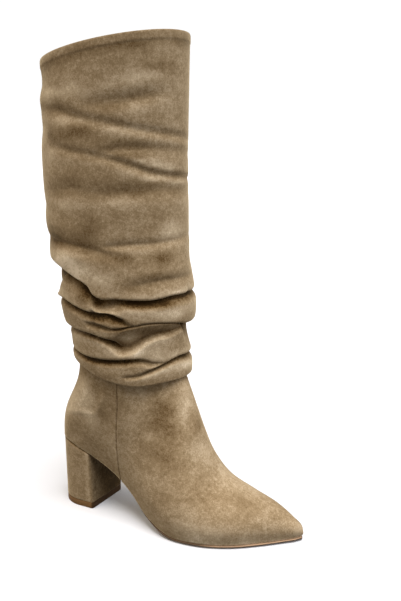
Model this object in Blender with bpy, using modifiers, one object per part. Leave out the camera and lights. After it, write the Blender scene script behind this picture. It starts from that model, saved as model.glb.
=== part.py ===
"""A knee-high slouch boot for the right foot, standing empty on its sole.

The toe points along +X, the inner side of the foot is +Y and +Z is up. The origin is the middle of
the heel's base, on the floor. Sizes are written in millimetres, and MM turns them into metres.
"""
from collections import namedtuple

import bmesh
import bpy
import numpy as np

MM = 0.001
OBJECT_NAME = "slouch_boot"

# Driving sizes
GAP = 0.3
UPPER_WALL = 1.8
SHAFT_WALL = 1.3
HEM_HEIGHT = 9.0
HEM_STEP = 0.7
TOP_PIECE_HEIGHT = 6.0
INSOLE_THICKNESS = 2.0
INSOLE_CLEARANCE = 2.8
INSOLE_TOE_CLEARANCE = 8.4
WELT_WIDTH = 1.2
WELT_TOE_WIDTH = 0.7
WAIST_INSET = 1.5
WELT_STARTS = 110.0
WAIST_ENDS = 60.0
WELD_DISTANCE = 0.01
SHARP_EDGE_DEGREES = 40.0

# Mesh steps
UPPER_ROWS = 36
UPPER_HALF_COLUMNS = 13
SHAFT_COLUMNS = 38
SECTION_STEPS = 40
FEATHER_STEPS = 200
INSOLE_STATIONS = 30
WAIST_STATIONS = 12
TREAD_STATIONS = 6
TOE_STATIONS = 14
HEEL_TURN_STATIONS = 11
HEEL_BACK_ANGLE = 0.1
HEEL_SIDE_SHARES = (0.81, 1.0)
NEAREST_STATION = 0.2

# The last, from the toe to the back of the heel, like the stations of a hull. Each section runs from
# the feather to a top point, on the ridge of the vamp or, behind the throat, on the ankle ring, where
# top_half is half the ring's width. It is widest at the belly, a share of the way up. sway and bow
# bend it in side view, as the back of the heel bends.
Section = namedtuple(
    "Section",
    "name sole_x sole_z top_x top_z outer inner outer_feather inner_feather"
    " ridge_y top_half belly crown sway bow",
)
SECTIONS = [
    Section("tip", 225.6, 4.6, 227.2, 10.0, 16.0, 16.0, 16.0, 16.0, 16.0, 0.0, 0.40, 2.20, 0.0, -1.0),
    Section("nose", 222.8, 4.3, 225.0, 14.2, 11.0, 20.6, 11.6, 20.0, 15.8, 0.0, 0.40, 2.20, 0.0, -0.8),
    Section("toe", 214.0, 3.9, 215.5, 21.8, 1.8, 24.6, 3.2, 23.2, 14.5, 0.0, 0.38, 2.10, 0.0, 0.0),
    Section("toe_box", 198.0, 3.6, 199.0, 32.0, -13.5, 30.5, -11.4, 28.5, 11.0, 0.0, 0.36, 2.00, 0.0, 0.0),
    Section("vamp", 175.0, 3.4, 175.0, 41.8, -31.5, 36.5, -28.8, 34.0, 6.5, 0.0, 0.32, 1.95, 0.0, 0.0),
    Section("ball", 148.0, 3.4, 150.5, 55.3, -42.8, 38.5, -39.8, 35.5, 3.0, 0.0, 0.28, 1.90, 0.0, 0.0),
    Section("tread", 120.0, 4.0, 137.5, 76.0, -45.6, 35.5, -41.6, 30.5, 1.0, 0.0, 0.27, 1.90, 0.0, 0.0),
    Section("waist", 92.0, 12.6, 130.0, 97.5, -42.0, 32.0, -34.5, 22.0, 0.0, 0.0, 0.28, 1.95, 0.0, 0.0),
    Section("arch", 70.0, 30.3, 123.0, 116.0, -38.0, 32.5, -29.0, 21.5, 0.0, 0.0, 0.32, 1.95, 0.0, 0.0),
    Section("shank", 52.0, 43.2, 115.0, 135.5, -37.0, 34.0, -26.8, 23.0, 0.0, 0.0, 0.38, 1.95, 0.0, 0.0),
    Section("instep", 40.0, 49.7, 107.9, 150.0, -38.5, 36.5, -26.4, 24.5, 0.0, 0.0, 0.46, 1.90, 0.0, 0.0),
    Section("throat", 34.0, 52.6, 104.2, 150.8, -39.5, 38.0, -26.4, 25.2, 0.0, 15.4, 0.52, 1.50, 0.1, 0.1),
    Section("breast", 26.0, 56.2, 94.5, 152.5, -40.5, 40.0, -26.5, 26.0, 0.0, 28.4, 0.64, 1.20, 0.4, 0.3),
    Section("seat", 6.0, 64.0, 60.0, 156.0, -42.8, 42.8, -26.8, 26.8, 0.0, 42.8, 1.00, 1.00, 1.5, -0.7),
    Section("heel", -12.2, 69.6, 26.0, 159.5, -35.9, 35.9, -21.5, 21.5, 0.0, 35.9, 1.00, 1.00, 3.3, -2.1),
    Section("turn", -19.2, 71.4, 8.5, 161.5, -20.9, 20.9, -11.5, 11.5, 0.0, 20.9, 1.00, 1.00, 4.3, -1.9),
    Section("back", -21.6, 72.4, 1.8, 163.0, 0.0, 0.0, 0.0, 0.0, 0.0, 0.0, 1.00, 1.00, 4.6, -1.8),
]
COLUMN_NAMES = Section._fields[1:]
FEATHER_COLUMNS = [COLUMN_NAMES.index(name) for name in ("sole_x", "sole_z", "outer_feather")]
TOP_COLUMNS = [COLUMN_NAMES.index(name) for name in ("top_x", "top_z", "top_half")]

# The outsole's underside: distance along the foot, height. It lies flat under the ball.
Ground = namedtuple("Ground", "x z")
GROUND_LINE = [
    Ground(20.5, 57.9),
    Ground(40.0, 47.9),
    Ground(62.0, 34.3),
    Ground(92.0, 10.0),
    Ground(106.0, 2.9),
    Ground(118.0, 0.0),
    Ground(168.0, 0.0),
    Ground(198.0, 0.4),
    Ground(228.0, 1.6),
]
TREAD_FLAT = (118.0, 168.0)

# The block heel: outlines with a straight breast and a rounded back
Outline = namedtuple("Outline", "back breast half_width round_share")
HEEL_BASE = Outline(-21.4, 22.4, 25.4, 0.62)
HEEL_SEAT = Outline(-21.6, 20.0, 26.8, 0.62)

# The shaft's smooth oval by height, before the folds
Oval = namedtuple("Oval", "z centre_x half_length half_width")
SHAFT_OVALS = [
    Oval(140.0, 57.3, 56.6, 47.5),
    Oval(165.0, 54.8, 58.2, 49.2),
    Oval(185.0, 53.0, 60.5, 51.0),
    Oval(205.0, 52.2, 64.5, 54.2),
    Oval(235.0, 49.5, 65.0, 55.0),
    Oval(265.0, 43.6, 67.6, 57.0),
    Oval(300.0, 41.5, 69.0, 58.2),
    Oval(345.0, 40.4, 69.7, 58.6),
    Oval(400.0, 42.0, 69.2, 58.6),
    Oval(450.0, 43.0, 69.6, 58.6),
]

# The slouch folds, from the skirt edge up. Heights and depths are given round the leg at STATIONS,
# degrees from the front by way of the outer side.
STATIONS = (0.0, 30.0, 60.0, 90.0, 120.0, 150.0, 180.0, 240.0, 300.0)
Fold = namedtuple("Fold", "name heights depths")
SKIRT_EDGE = Fold(
    "skirt_edge",
    (144.0, 143.5, 141.0, 145.0, 153.0, 157.0, 158.0, 149.0, 144.0),
    (1.0, 1.0, 1.0, 1.0, 1.0, 1.0, 1.0, 1.0, 1.0),
)
FOLDS = [
    Fold(
        "instep_fold",
        (163.0, 160.0, 152.0, 152.5, 158.5, 161.0, 162.0, 157.0, 161.0),
        (3.0, 3.0, 1.4, 0.2, 0.0, 0.0, 0.0, 1.0, 2.5),
    ),
    Fold(
        "ankle_fold",
        (173.0, 169.0, 165.0, 163.0, 164.0, 166.0, 167.0, 168.0, 172.0),
        (0.0, 0.4, 2.4, 3.0, 3.0, 3.0, 2.5, 1.5, 0.3),
    ),
    Fold(
        "swag_fold",
        (189.5, 187.0, 178.0, 184.5, 186.5, 187.0, 188.0, 186.0, 188.5),
        (5.5, 3.6, 4.0, 3.0, 3.0, 3.0, 2.5, 3.0, 6.0),
    ),
    Fold(
        "upper_swag_fold",
        (196.0, 197.5, 194.5, 196.0, 198.5, 200.0, 201.0, 199.0, 197.0),
        (1.5, 2.6, 2.6, 2.6, 1.0, 0.5, 0.5, 1.0, 1.8),
    ),
    Fold(
        "outer_fold",
        (208.0, 208.0, 205.0, 207.0, 208.5, 213.0, 214.0, 211.0, 208.5),
        (0.0, 0.0, 1.0, 3.0, 3.2, 3.0, 2.2, 1.2, 0.4),
    ),
    Fold(
        "shaft_lip_fold",
        (221.5, 220.5, 219.5, 227.0, 243.0, 248.0, 246.0, 234.0, 224.0),
        (4.0, 5.0, 5.5, 5.0, 4.4, 4.2, 4.0, 3.6, 3.2),
    ),
]
CREST_SHARE = 0.45
CREST_BULGE = 1.0
SKIRT_FACE_RISE = 3.5
SKIRT_FACE_BULGE = 0.2
SKIRT_RETURN_RISES = (0.8, 5.0, 13.0)
SKIRT_RETURN_INSETS = (2.9, 3.75, 3.85)
LIP_RISE = 10.0
COLLAR_HEIGHT = 436.0
COLLAR_SLOPE = 12.0
SHAFT_SHARES = (0.16, 0.34, 0.53, 0.73, 0.9)

# Materials: linear colour, roughness
SUEDE = (0.33, 0.24, 0.15)
SUEDE_ROUGHNESS = 0.95
TAN = (0.42, 0.23, 0.10)
TAN_ROUGHNESS = 0.55
BOARD = (0.45, 0.33, 0.20)
BOARD_ROUGHNESS = 0.8


def clear_scene():
    for item in list(bpy.data.objects):
        bpy.data.objects.remove(item, do_unlink=True)


def new_material(name, colour, roughness):
    material = bpy.data.materials.new(name)
    material.use_nodes = True
    shader = material.node_tree.nodes["Principled BSDF"]
    shader.inputs["Base Color"].default_value = (*colour, 1.0)
    shader.inputs["Roughness"].default_value = roughness
    shader.inputs["Metallic"].default_value = 0.0
    return material


def smooth_rows(keys, values, at):
    """Cubic Hermite curve through the values at the keys."""
    keys = np.asarray(keys, float)
    values = np.asarray(values, float)
    at = np.asarray(at, float)
    slope = np.gradient(values, keys, axis=0)
    left = np.clip(np.searchsorted(keys, at, side="right") - 1, 0, len(keys) - 2)
    span = keys[left + 1] - keys[left]
    share = (at - keys[left]) / span
    shape = (-1,) + (1,) * (values.ndim - 1)
    share = share.reshape(shape)
    span = span.reshape(shape)
    start = values[left] * (1 + 2 * share) * (1 - share) ** 2
    end = values[left + 1] * share**2 * (3 - 2 * share)
    start_slope = slope[left] * span * share * (1 - share) ** 2
    end_slope = slope[left + 1] * span * share**2 * (share - 1)
    return start + start_slope + end + end_slope


def resample(points, shares):
    """Points at equal shares of a polyline's length."""
    lengths = np.linalg.norm(np.diff(points, axis=0), axis=1)
    along = np.concatenate([[0.0], np.cumsum(lengths)])
    at = np.asarray(shares) * along[-1]
    return np.stack([np.interp(at, along, points[:, axis]) for axis in range(points.shape[1])], axis=1)


def half_section(width, feather, top, belly, crown):
    """One side of a section as (y, share of the way from the feather to the top)."""
    angle = np.linspace(0.0, np.pi / 2, SECTION_STEPS)
    low_y = feather + (width - feather) * np.sin(angle)
    low_rise = belly * np.sqrt(1 - np.cos(angle))
    power = 2.0 / crown
    high_y = top + (width - top) * np.cos(angle) ** power
    high_rise = belly + (1 - belly) * np.sin(angle) ** power
    low = np.stack([low_y, low_rise], axis=1)
    high = np.stack([high_y, high_rise], axis=1)
    return np.vstack([low, high[1:]])


def section_keys(table):
    """Where each section lies along the last, from 0 at the toe to 1 at the back."""
    sole_steps = np.linalg.norm(np.diff(table[:, FEATHER_COLUMNS], axis=0), axis=1)
    top_steps = np.linalg.norm(np.diff(table[:, TOP_COLUMNS], axis=0), axis=1)
    keys = np.concatenate([[0.0], np.cumsum((sole_steps + top_steps) / 2)])
    return keys / keys[-1]


def upper_positions(keys):
    """Row positions: every section, with more rows between sections that lie far apart."""
    spare = UPPER_ROWS - len(keys)
    wanted = list(keys)
    for _ in range(spare):
        ordered = np.sort(wanted)
        widest = int(np.argmax(np.diff(ordered)))
        wanted.append((ordered[widest] + ordered[widest + 1]) / 2)
    return np.sort(wanted)


def section_points(row, shares):
    """A section's outer and inner sides, each from feather to top."""
    height = np.hypot(row.top_x - row.sole_x, row.top_z - row.sole_z)
    sides = []
    for width, feather, top in (
        (row.outer, row.outer_feather, row.ridge_y - row.top_half),
        (row.inner, row.inner_feather, row.ridge_y + row.top_half),
    ):
        outline = half_section(width, feather, top, row.belly, row.crown)
        half = resample(outline * (1.0, height), shares)
        rise = half[:, 1] / height
        bend = row.sway * np.sin(2 * np.pi * rise) + row.bow * np.sin(np.pi * rise)
        x = row.sole_x + (row.top_x - row.sole_x) * rise - bend
        z = row.sole_z + (row.top_z - row.sole_z) * rise
        sides.append(np.stack([x, half[:, 0], z], axis=1))
    return sides


def section_rows():
    """The sections and those between them. The ridge stays closed as far as the instep."""
    table = np.array([section[1:] for section in SECTIONS])
    keys = section_keys(table)
    rows = [Section("row", *values) for values in smooth_rows(keys, table, upper_positions(keys))]
    return [row._replace(top_half=max(row.top_half, 0.0)) for row in rows]


def upper_sides():
    """The last's outer and inner surfaces as rows of points from feather to top."""
    shares = np.linspace(0.0, 1.0, UPPER_HALF_COLUMNS)
    sides = [section_points(row, shares) for row in section_rows()]
    return np.array([side[0] for side in sides]), np.array([side[1] for side in sides])


def feather_line():
    """The upper's lower edge as columns x, z, outer y, inner y, from the back to the toe."""
    table = np.array([section[1:] for section in SECTIONS])
    rows = smooth_rows(section_keys(table), table, np.linspace(0.0, 1.0, FEATHER_STEPS))[::-1]
    return rows[:, FEATHER_COLUMNS + [COLUMN_NAMES.index("inner_feather")]]


def offset_side(x, y, distance):
    """Move a side outline to its right, seen from above, by a distance."""
    slope_x = np.gradient(x)
    slope_y = np.gradient(y)
    length = np.hypot(slope_x, slope_y)
    return x + distance * slope_y / length, y - distance * slope_x / length


def sole_sides(stations, distance):
    """Outer and inner y at the stations, on the feather line moved outward by a distance."""
    line = feather_line()
    outer_x, outer_y = offset_side(line[:, 0], line[:, 2], distance)
    inner_x, inner_y = offset_side(line[:, 0], line[:, 3], -distance)
    return np.interp(stations, outer_x, outer_y), np.interp(stations, inner_x, inner_y)


def sole_rows():
    """x and z of the upper's own rows along the sole, from the back to the toe."""
    rows = section_rows()[::-1]
    return [row.sole_x for row in rows], [row.sole_z for row in rows]


def sole_height(stations):
    """Height of the upper's faceted lower edge, so that what meets it keeps an even gap."""
    return np.interp(stations, *sole_rows())


def with_sole_rows(stations):
    """Stations with those of the upper's rows that lie between the first and the last."""
    row_x = np.array(sole_rows()[0])
    inside = row_x[(row_x > stations[0]) & (row_x < stations[-1])]
    apart = [x for x in inside if np.min(np.abs(stations - x)) > NEAREST_STATION]
    return np.sort(np.concatenate([stations, apart]))


def add_object(name, mesh, material, collection):
    item = bpy.data.objects.new(name, mesh)
    item.data.materials.append(material)
    collection.objects.link(item)
    return item


def add_grid(work, grid, ring_closed=False):
    """Triangles through rows of points, facing along columns x rows."""
    rows, columns = grid.shape[:2]
    corners = [[work.verts.new(point * MM) for point in row] for row in grid]
    for row in range(rows - 1):
        for column in range(columns if ring_closed else columns - 1):
            after = (column + 1) % columns
            near, far = corners[row], corners[row + 1]
            work.faces.new((near[column], near[after], far[after]))
            work.faces.new((near[column], far[after], far[column]))


def finish_mesh(name, work):
    mesh = bpy.data.meshes.new(name)
    work.to_mesh(mesh)
    work.free()
    mesh.shade_smooth()
    mesh.set_sharp_from_angle(angle=np.radians(SHARP_EDGE_DEGREES))
    return mesh


def add_shell(name, mesh, wall, material, collection):
    item = add_object(name, mesh, material, collection)
    shell = item.modifiers.new("wall", "SOLIDIFY")
    shell.thickness = wall * MM
    shell.offset = -1.0
    shell.use_even_offset = True
    shell.thickness_clamp = 1.0
    return item


def slab_mesh(name, edges):
    """A closed solid through four long edges: top outer, top inner, bottom inner, bottom outer."""
    work = bmesh.new()
    corners = [[work.verts.new(np.array(point) * MM) for point in edge] for edge in edges]
    count = len(corners[0])
    for station in range(count - 1):
        for side in range(4):
            after = (side + 1) % 4
            work.faces.new(
                (
                    corners[side][station],
                    corners[side][station + 1],
                    corners[after][station + 1],
                    corners[after][station],
                )
            )
    work.faces.new([corners[side][0] for side in range(4)])
    work.faces.new([corners[side][-1] for side in range(4)])
    bmesh.ops.recalc_face_normals(work, faces=work.faces)
    return finish_mesh(name, work)


def slab_edges(top_x, top_sides, top_z, bottom_x, bottom_sides, bottom_z):
    """A slab's four long edges from its outlines, each given as x, (outer y, inner y) and z."""
    return [
        np.stack([top_x, top_sides[0], top_z], axis=1),
        np.stack([top_x, top_sides[1], top_z], axis=1),
        np.stack([bottom_x, bottom_sides[1], bottom_z], axis=1),
        np.stack([bottom_x, bottom_sides[0], bottom_z], axis=1),
    ]


def eased(start, end, count):
    """Stations from start to end, closer together at both ends."""
    return start + (end - start) * (1 - np.cos(np.linspace(0.0, np.pi, count))) / 2


def make_upper(material, collection):
    """The outer and inner sides, welded at the toe, along the ridge and down the back."""
    outer, inner = upper_sides()
    work = bmesh.new()
    add_grid(work, outer)
    add_grid(work, inner[::-1])
    bmesh.ops.remove_doubles(work, verts=work.verts, dist=WELD_DISTANCE * MM)
    return add_shell("upper", finish_mesh("upper", work), UPPER_WALL, material, collection)


def make_insole(material, collection):
    line = feather_line()
    back = line[0, 0] + INSOLE_CLEARANCE + GAP
    toe = line[-1, 0] - INSOLE_TOE_CLEARANCE
    x = with_sole_rows(eased(back, toe, INSOLE_STATIONS))
    sides = sole_sides(x, -INSOLE_CLEARANCE)
    bottom = sole_height(x) + GAP / 2
    edges = slab_edges(x, sides, bottom + INSOLE_THICKNESS, x, sides, bottom)
    return add_object("insole", slab_mesh("insole", edges), material, collection)


def outsole_stations():
    """Stations from the heel breast to the toe, with the ends of the flat tread among them."""
    breast = HEEL_SEAT.breast + GAP
    toe = feather_line()[-1, 0] + WELT_TOE_WIDTH
    waist = np.linspace(breast, TREAD_FLAT[0], WAIST_STATIONS)
    tread = np.linspace(TREAD_FLAT[0], TREAD_FLAT[1], TREAD_STATIONS)[1:]
    half_turn = np.sin(np.linspace(0.0, np.pi / 2, TOE_STATIONS))[1:]
    front = TREAD_FLAT[1] + (toe - TREAD_FLAT[1]) * half_turn
    return with_sole_rows(np.concatenate([waist, tread, front]))


def make_outsole(material, collection):
    x = outsole_stations()
    welt = np.interp(x, (WAIST_ENDS, WELT_STARTS), (-WAIST_INSET, WELT_WIDTH))
    outer = [sole_sides([station], distance)[0][0] for station, distance in zip(x, welt)]
    inner = [sole_sides([station], distance)[1][0] for station, distance in zip(x, welt)]
    sides = (np.array(outer), np.array(inner))
    top = sole_height(x) - GAP
    ground = np.interp(x, [point.x for point in GROUND_LINE], [point.z for point in GROUND_LINE])
    edges = slab_edges(x, sides, top, x, sides, ground)
    return add_object("outsole", slab_mesh("outsole", edges), material, collection)


def outline_sides(outline, shares):
    """A D-shaped outline: stations along x and the half width there."""
    x = outline.back + (outline.breast - outline.back) * shares
    into_back = np.clip(1 - shares / outline.round_share, 0.0, 1.0)
    half = outline.half_width * np.sqrt(1 - into_back**2)
    return x, (-half, half)


def heel_shares():
    """Shares along the heel, close together where its back turns."""
    turn = 1 - np.cos(np.linspace(HEEL_BACK_ANGLE, np.pi / 2, HEEL_TURN_STATIONS))
    shares = np.concatenate([HEEL_BASE.round_share * turn, HEEL_SIDE_SHARES])
    length = HEEL_SEAT.breast - HEEL_SEAT.back
    return (with_sole_rows(HEEL_SEAT.back + length * shares) - HEEL_SEAT.back) / length


def make_heel(material, collection):
    shares = heel_shares()
    base_x, base_sides = outline_sides(HEEL_BASE, shares)
    seat_x, seat_sides = outline_sides(HEEL_SEAT, shares)
    seat_z = sole_height(seat_x) - GAP
    base_z = np.full_like(base_x, TOP_PIECE_HEIGHT + GAP)
    edges = slab_edges(seat_x, seat_sides, seat_z, base_x, base_sides, base_z)
    return add_object("heel", slab_mesh("heel", edges), material, collection)


def make_top_piece(material, collection):
    x, sides = outline_sides(HEEL_BASE, heel_shares())
    top = np.full_like(x, TOP_PIECE_HEIGHT)
    edges = slab_edges(x, sides, top, x, sides, np.zeros_like(x))
    return add_object("top_piece", slab_mesh("top_piece", edges), material, collection)


def round_the_leg(values, angles):
    """A smooth closed curve through values at STATIONS, read at angles in degrees."""
    stations = np.array(STATIONS)
    keys = np.concatenate([stations - 360.0, stations, stations + 360.0])
    return smooth_rows(keys, np.tile(values, 3), angles)


def shaft_loops(angles):
    """Loops round the leg from inside the skirt to the collar, as (heights, offsets)."""
    edge = round_the_leg(SKIRT_EDGE.heights, angles)
    level = np.ones_like(angles)
    loops = []
    for rise, inset in zip(SKIRT_RETURN_RISES[::-1], SKIRT_RETURN_INSETS[::-1]):
        loops.append((edge + rise, -inset * level))
    loops.append((edge, -round_the_leg(SKIRT_EDGE.depths, angles)))
    loops.append((edge + SKIRT_FACE_RISE, SKIRT_FACE_BULGE * level))
    below = edge + SKIRT_FACE_RISE
    for fold in FOLDS:
        crease = round_the_leg(fold.heights, angles)
        if fold is not FOLDS[0]:
            loops.append((below + CREST_SHARE * (crease - below), CREST_BULGE * level))
        loops.append((crease, -round_the_leg(fold.depths, angles)))
        below = crease
    collar = COLLAR_HEIGHT + COLLAR_SLOPE * np.cos(np.radians(angles))
    lip = below + LIP_RISE
    loops.append((lip, CREST_BULGE * level))
    hem = collar - HEM_HEIGHT
    for share in SHAFT_SHARES:
        loops.append((lip + share * (hem - lip), 0 * level))
    loops.append((hem, 0 * level))
    loops.append((hem + HEM_STEP, HEM_STEP * level))
    loops.append((collar, HEM_STEP * level))
    return loops


def shaft_grid():
    angles = np.linspace(0.0, 360.0, SHAFT_COLUMNS, endpoint=False)
    loops = shaft_loops(angles)
    knots = np.arange(len(loops))
    skirt_face = len(SKIRT_RETURN_RISES) + 1
    half_rows = np.arange(skirt_face, skirt_face + 2 * len(FOLDS)) + 0.5
    at = np.sort(np.concatenate([knots, half_rows]))
    heights = smooth_rows(knots, np.array([loop[0] for loop in loops]), at)
    offsets = smooth_rows(knots, np.array([loop[1] for loop in loops]), at)
    return oval_points(angles, heights, offsets)


def oval_points(angles, heights, offsets):
    """Points on the shaft's oval at each height, moved outward by the offsets."""
    table = np.array(SHAFT_OVALS)
    oval = smooth_rows(table[:, 0], table[:, 1:], heights.ravel()).reshape(*heights.shape, 3)
    cosine = np.cos(np.radians(angles))
    sine = np.sin(np.radians(angles))
    x = oval[..., 0] + (oval[..., 1] + offsets) * cosine
    y = -(oval[..., 2] + offsets) * sine
    return np.stack([x, y, heights], axis=-1)


def make_shaft(material, collection):
    work = bmesh.new()
    add_grid(work, shaft_grid()[:, ::-1], ring_closed=True)
    return add_shell("shaft", finish_mesh("shaft", work), SHAFT_WALL, material, collection)


def main():
    clear_scene()
    boot = bpy.data.collections.new(OBJECT_NAME)
    bpy.context.scene.collection.children.link(boot)
    make_upper(new_material("upper_suede", SUEDE, SUEDE_ROUGHNESS), boot)
    make_shaft(new_material("shaft_suede", SUEDE, SUEDE_ROUGHNESS), boot)
    make_insole(new_material("insole_board", BOARD, BOARD_ROUGHNESS), boot)
    make_outsole(new_material("outsole_leather", TAN, TAN_ROUGHNESS), boot)
    make_heel(new_material("heel_suede", SUEDE, SUEDE_ROUGHNESS), boot)
    make_top_piece(new_material("top_piece_rubber", TAN, TAN_ROUGHNESS), boot)


main()
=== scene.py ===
"""The looks of a knee-high slouch boot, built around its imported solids.

Sizes are written in millimetres in the boot's own frame, and MM turns them into metres. The toe
points along +X, the inner side of the foot is +Y and +Z is up.
"""
from collections import namedtuple

import bmesh
import bpy
import numpy as np
from mathutils import Matrix, Vector


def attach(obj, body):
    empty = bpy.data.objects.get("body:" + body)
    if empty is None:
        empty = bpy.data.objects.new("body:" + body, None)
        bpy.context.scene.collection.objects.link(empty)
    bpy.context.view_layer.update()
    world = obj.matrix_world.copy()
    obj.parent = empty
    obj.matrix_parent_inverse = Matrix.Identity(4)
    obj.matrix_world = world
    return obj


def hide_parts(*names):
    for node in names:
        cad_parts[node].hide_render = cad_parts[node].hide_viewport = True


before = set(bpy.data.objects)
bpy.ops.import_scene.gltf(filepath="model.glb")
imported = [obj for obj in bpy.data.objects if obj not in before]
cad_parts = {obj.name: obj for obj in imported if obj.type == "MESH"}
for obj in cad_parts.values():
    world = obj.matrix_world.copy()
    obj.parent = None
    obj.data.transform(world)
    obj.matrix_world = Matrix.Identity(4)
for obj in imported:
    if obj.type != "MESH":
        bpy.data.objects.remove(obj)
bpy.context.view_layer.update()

MM = 0.001
BODY = "root"

# The camera stands to the outer side of the toe, a little below the collar
CAMERA_PLACE = (458.9, -600.8, 364.0)
CAMERA_AZIMUTH = 28.72
CAMERA_PITCH = -12.11
CAMERA_LENS = 46.97
CAMERA_SENSOR = 36.0

# Driving sizes shared with the solids
UPPER_WALL = 1.8
HEM_HEIGHT = 9.0
HEM_STEP = 0.5
TOP_PIECE_HEIGHT = 6.0
WELT_WIDTH = 1.2
WELT_TOE_WIDTH = 0.7
WAIST_INSET = 1.5
WELT_STARTS = 110.0
WAIST_ENDS = 60.0

Section = namedtuple(
    "Section",
    "name sole_x sole_z top_x top_z outer inner outer_feather inner_feather"
    " ridge_y top_half belly crown sway bow",
    defaults=(0.0, 0.0),
)
SECTIONS = [
    Section("tip", 225.6, 4.6, 227.2, 10.0, 16.0, 16.0, 16.0, 16.0, 16.0, 0.0, 0.40, 2.20, 0.0, -1.0),
    Section("nose", 222.8, 4.3, 225.0, 14.2, 11.0, 20.6, 11.6, 20.0, 15.8, 0.0, 0.40, 2.20, 0.0, -0.8),
    Section("toe", 214.0, 3.9, 215.5, 21.8, 1.8, 24.6, 3.2, 23.2, 14.5, 0.0, 0.38, 2.10),
    Section("toe_box", 198.0, 3.6, 199.0, 32.0, -13.5, 30.5, -11.4, 28.5, 11.0, 0.0, 0.36, 2.00),
    Section("vamp", 175.0, 3.4, 175.0, 41.8, -31.5, 36.5, -28.8, 34.0, 6.5, 0.0, 0.32, 1.95),
    Section("ball", 148.0, 3.4, 150.5, 55.3, -42.8, 38.5, -39.8, 35.5, 3.0, 0.0, 0.28, 1.90),
    Section("tread", 120.0, 4.0, 137.5, 76.0, -45.6, 35.5, -41.6, 30.5, 1.0, 0.0, 0.27, 1.90),
    Section("waist", 92.0, 12.6, 130.0, 97.5, -42.0, 32.0, -34.5, 22.0, 0.0, 0.0, 0.28, 1.95),
    Section("arch", 70.0, 30.3, 123.0, 116.0, -38.0, 32.5, -29.0, 21.5, 0.0, 0.0, 0.32, 1.95),
    Section("shank", 52.0, 43.2, 115.0, 135.5, -37.0, 34.0, -26.8, 23.0, 0.0, 0.0, 0.38, 1.95),
    Section("instep", 40.0, 49.7, 107.9, 150.0, -38.5, 36.5, -26.4, 24.5, 0.0, 0.0, 0.46, 1.90),
    Section("throat", 34.0, 52.6, 104.2, 150.8, -39.5, 38.0, -26.4, 25.2, 0.0, 15.4, 0.52, 1.50, 0.1, 0.1),
    Section("breast", 26.0, 56.2, 94.5, 152.5, -40.5, 40.0, -26.5, 26.0, 0.0, 28.4, 0.64, 1.20, 0.4, 0.3),
    Section("seat", 6.0, 64.0, 60.0, 156.0, -42.8, 42.8, -26.8, 26.8, 0.0, 42.8, 1.00, 1.00, 1.5, -0.7),
    Section("heel", -12.2, 69.6, 26.0, 159.5, -35.9, 35.9, -21.5, 21.5, 0.0, 35.9, 1.00, 1.00, 3.3, -2.1),
    Section("turn", -19.2, 71.4, 8.5, 161.5, -20.9, 20.9, -11.5, 11.5, 0.0, 20.9, 1.00, 1.00, 4.3, -1.9),
    Section("back", -21.6, 72.4, 1.8, 163.0, 0.0, 0.0, 0.0, 0.0, 0.0, 0.0, 1.00, 1.00, 4.6, -1.8),
]
COLUMN_NAMES = Section._fields[1:]
FEATHER_COLUMNS = [COLUMN_NAMES.index(name) for name in ("sole_x", "sole_z", "outer_feather")]
TOP_COLUMNS = [COLUMN_NAMES.index(name) for name in ("top_x", "top_z", "top_half")]
TOP_HALF = COLUMN_NAMES.index("top_half")
INNER_FEATHER = COLUMN_NAMES.index("inner_feather")

# The outsole's underside as (distance along the foot, height)
GROUND_LINE = [
    (20.5, 57.9), (40.0, 47.9), (62.0, 34.3), (92.0, 10.0), (106.0, 2.9), (118.0, 0.0),
    (168.0, 0.0), (198.0, 0.4), (228.0, 1.6),
]

Outline = namedtuple("Outline", "back breast half_width round_share")
HEEL_BASE = Outline(-21.4, 22.4, 25.4, 0.62)
HEEL_SEAT = Outline(-21.6, 20.0, 26.8, 0.62)

Oval = namedtuple("Oval", "z centre_x half_length half_width")
SHAFT_OVALS = [
    Oval(140.0, 57.3, 56.6, 47.5),
    Oval(165.0, 54.8, 58.2, 49.2),
    Oval(185.0, 53.0, 60.5, 51.0),
    Oval(205.0, 52.2, 64.5, 54.2),
    Oval(235.0, 49.5, 65.0, 55.0),
    Oval(265.0, 43.6, 67.6, 57.0),
    Oval(300.0, 41.5, 69.0, 58.2),
    Oval(345.0, 40.4, 69.7, 58.6),
    Oval(400.0, 42.0, 69.2, 58.6),
    Oval(450.0, 43.0, 69.6, 58.6),
]
COLLAR_HEIGHT = 436.0
COLLAR_SLOPE = 12.0

# The skirt's lower edge round the leg, degrees from the front by way of the outer side
SKIRT_ANGLES = (0.0, 30.0, 60.0, 90.0, 120.0, 150.0, 180.0, 240.0, 300.0)
SKIRT_HEIGHTS = (144.0, 143.5, 141.0, 145.0, 153.0, 157.0, 158.0, 149.0, 144.0)

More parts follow.
